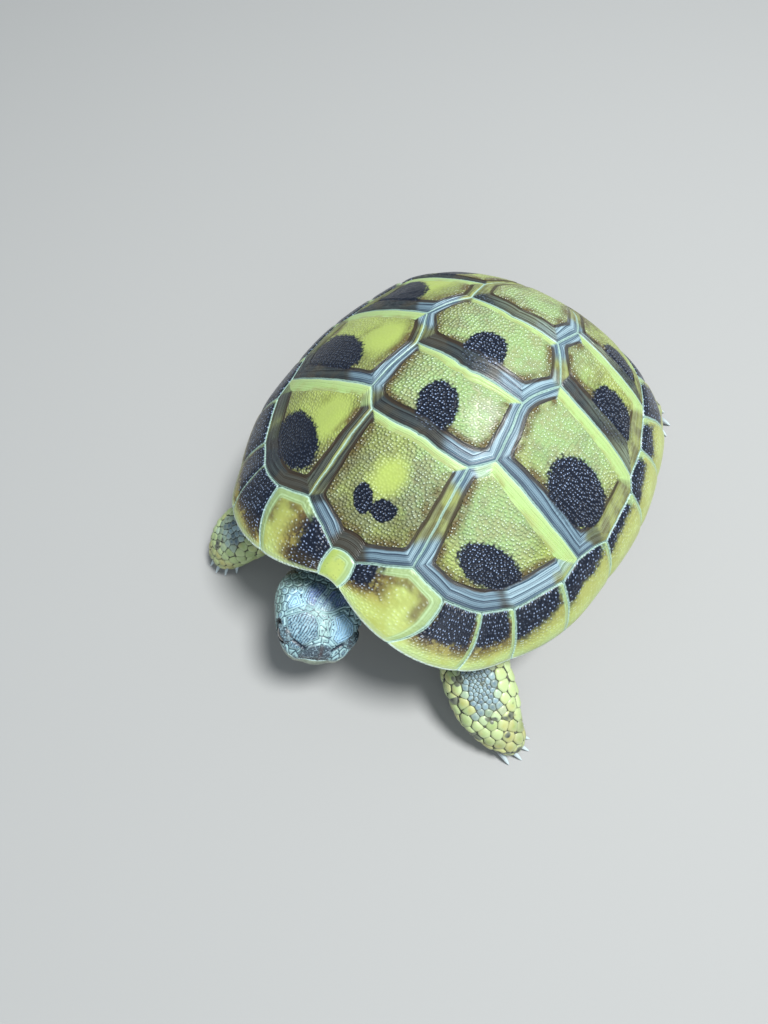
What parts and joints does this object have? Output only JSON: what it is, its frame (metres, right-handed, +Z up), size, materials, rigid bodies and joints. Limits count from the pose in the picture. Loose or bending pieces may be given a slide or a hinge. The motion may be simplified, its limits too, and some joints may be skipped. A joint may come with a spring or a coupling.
{
  "type": "tortoise",
  "caption": "Juvenile Hermann's tortoise walking with its head turned to its left, as a still life-size model for display.",
  "frame": {"origin": "on the floor below the middle of the whole animal's box", "axes": "+Z up, -Y towards the head end of the shell, +X to the animal's left"},
  "size_m": [0.0505, 0.0632, 0.0305],
  "materials": {
    "carapace": "horn plates, yellow-green with black blotches and growth rings, satin",
    "plastron": "horn plates, yellow with two dark bands, satin",
    "skin": "finely scaled skin, matt",
    "scales": "overlapping horny scales, satin",
    "head_shields": "smooth horny head shields, blue-grey, satin",
    "eye": "wet, dark"
  },
  "bodies": {
    "root": {"nuchal": "carapace", "vertebral_1": "carapace", "vertebral_2": "carapace", "vertebral_3": "carapace", "vertebral_4": "carapace", "vertebral_5": "carapace", "costal_left_1": "carapace", "costal_left_2": "carapace", "costal_left_3": "carapace", "costal_left_4": "carapace", "marginal_left_1": "carapace", "marginal_left_2": "carapace", "marginal_left_3": "carapace", "marginal_left_4": "carapace", "marginal_left_5": "carapace", "marginal_left_6": "carapace", "marginal_left_7": "carapace", "marginal_left_8": "carapace", "marginal_left_9": "carapace", "marginal_left_10": "carapace", "marginal_left_11": "carapace", "supracaudal_left": "carapace", "gular_left": "plastron", "humeral_left": "plastron", "pectoral_left": "plastron", "abdominal_left": "plastron", "femoral_left": "plastron", "anal_left": "plastron", "eye_left": "eye", "costal_right_1": "carapace", "costal_right_2": "carapace", "costal_right_3": "carapace", "costal_right_4": "carapace", "marginal_right_1": "carapace", "marginal_right_2": "carapace", "marginal_right_3": "carapace", "marginal_right_4": "carapace", "marginal_right_5": "carapace", "marginal_right_6": "carapace", "marginal_right_7": "carapace", "marginal_right_8": "carapace", "marginal_right_9": "carapace", "marginal_right_10": "carapace", "marginal_right_11": "carapace", "supracaudal_right": "carapace", "gular_right": "plastron", "humeral_right": "plastron", "pectoral_right": "plastron", "abdominal_right": "plastron", "femoral_right": "plastron", "anal_right": "plastron", "eye_right": "eye", "trunk": "skin", "neck": "skin", "tail": "skin", "head": "head_shields", "leg_front_left": "scales", "leg_front_right": "scales", "leg_hind_left": "scales", "leg_hind_right": "scales"}
  },
  "joints": []
}
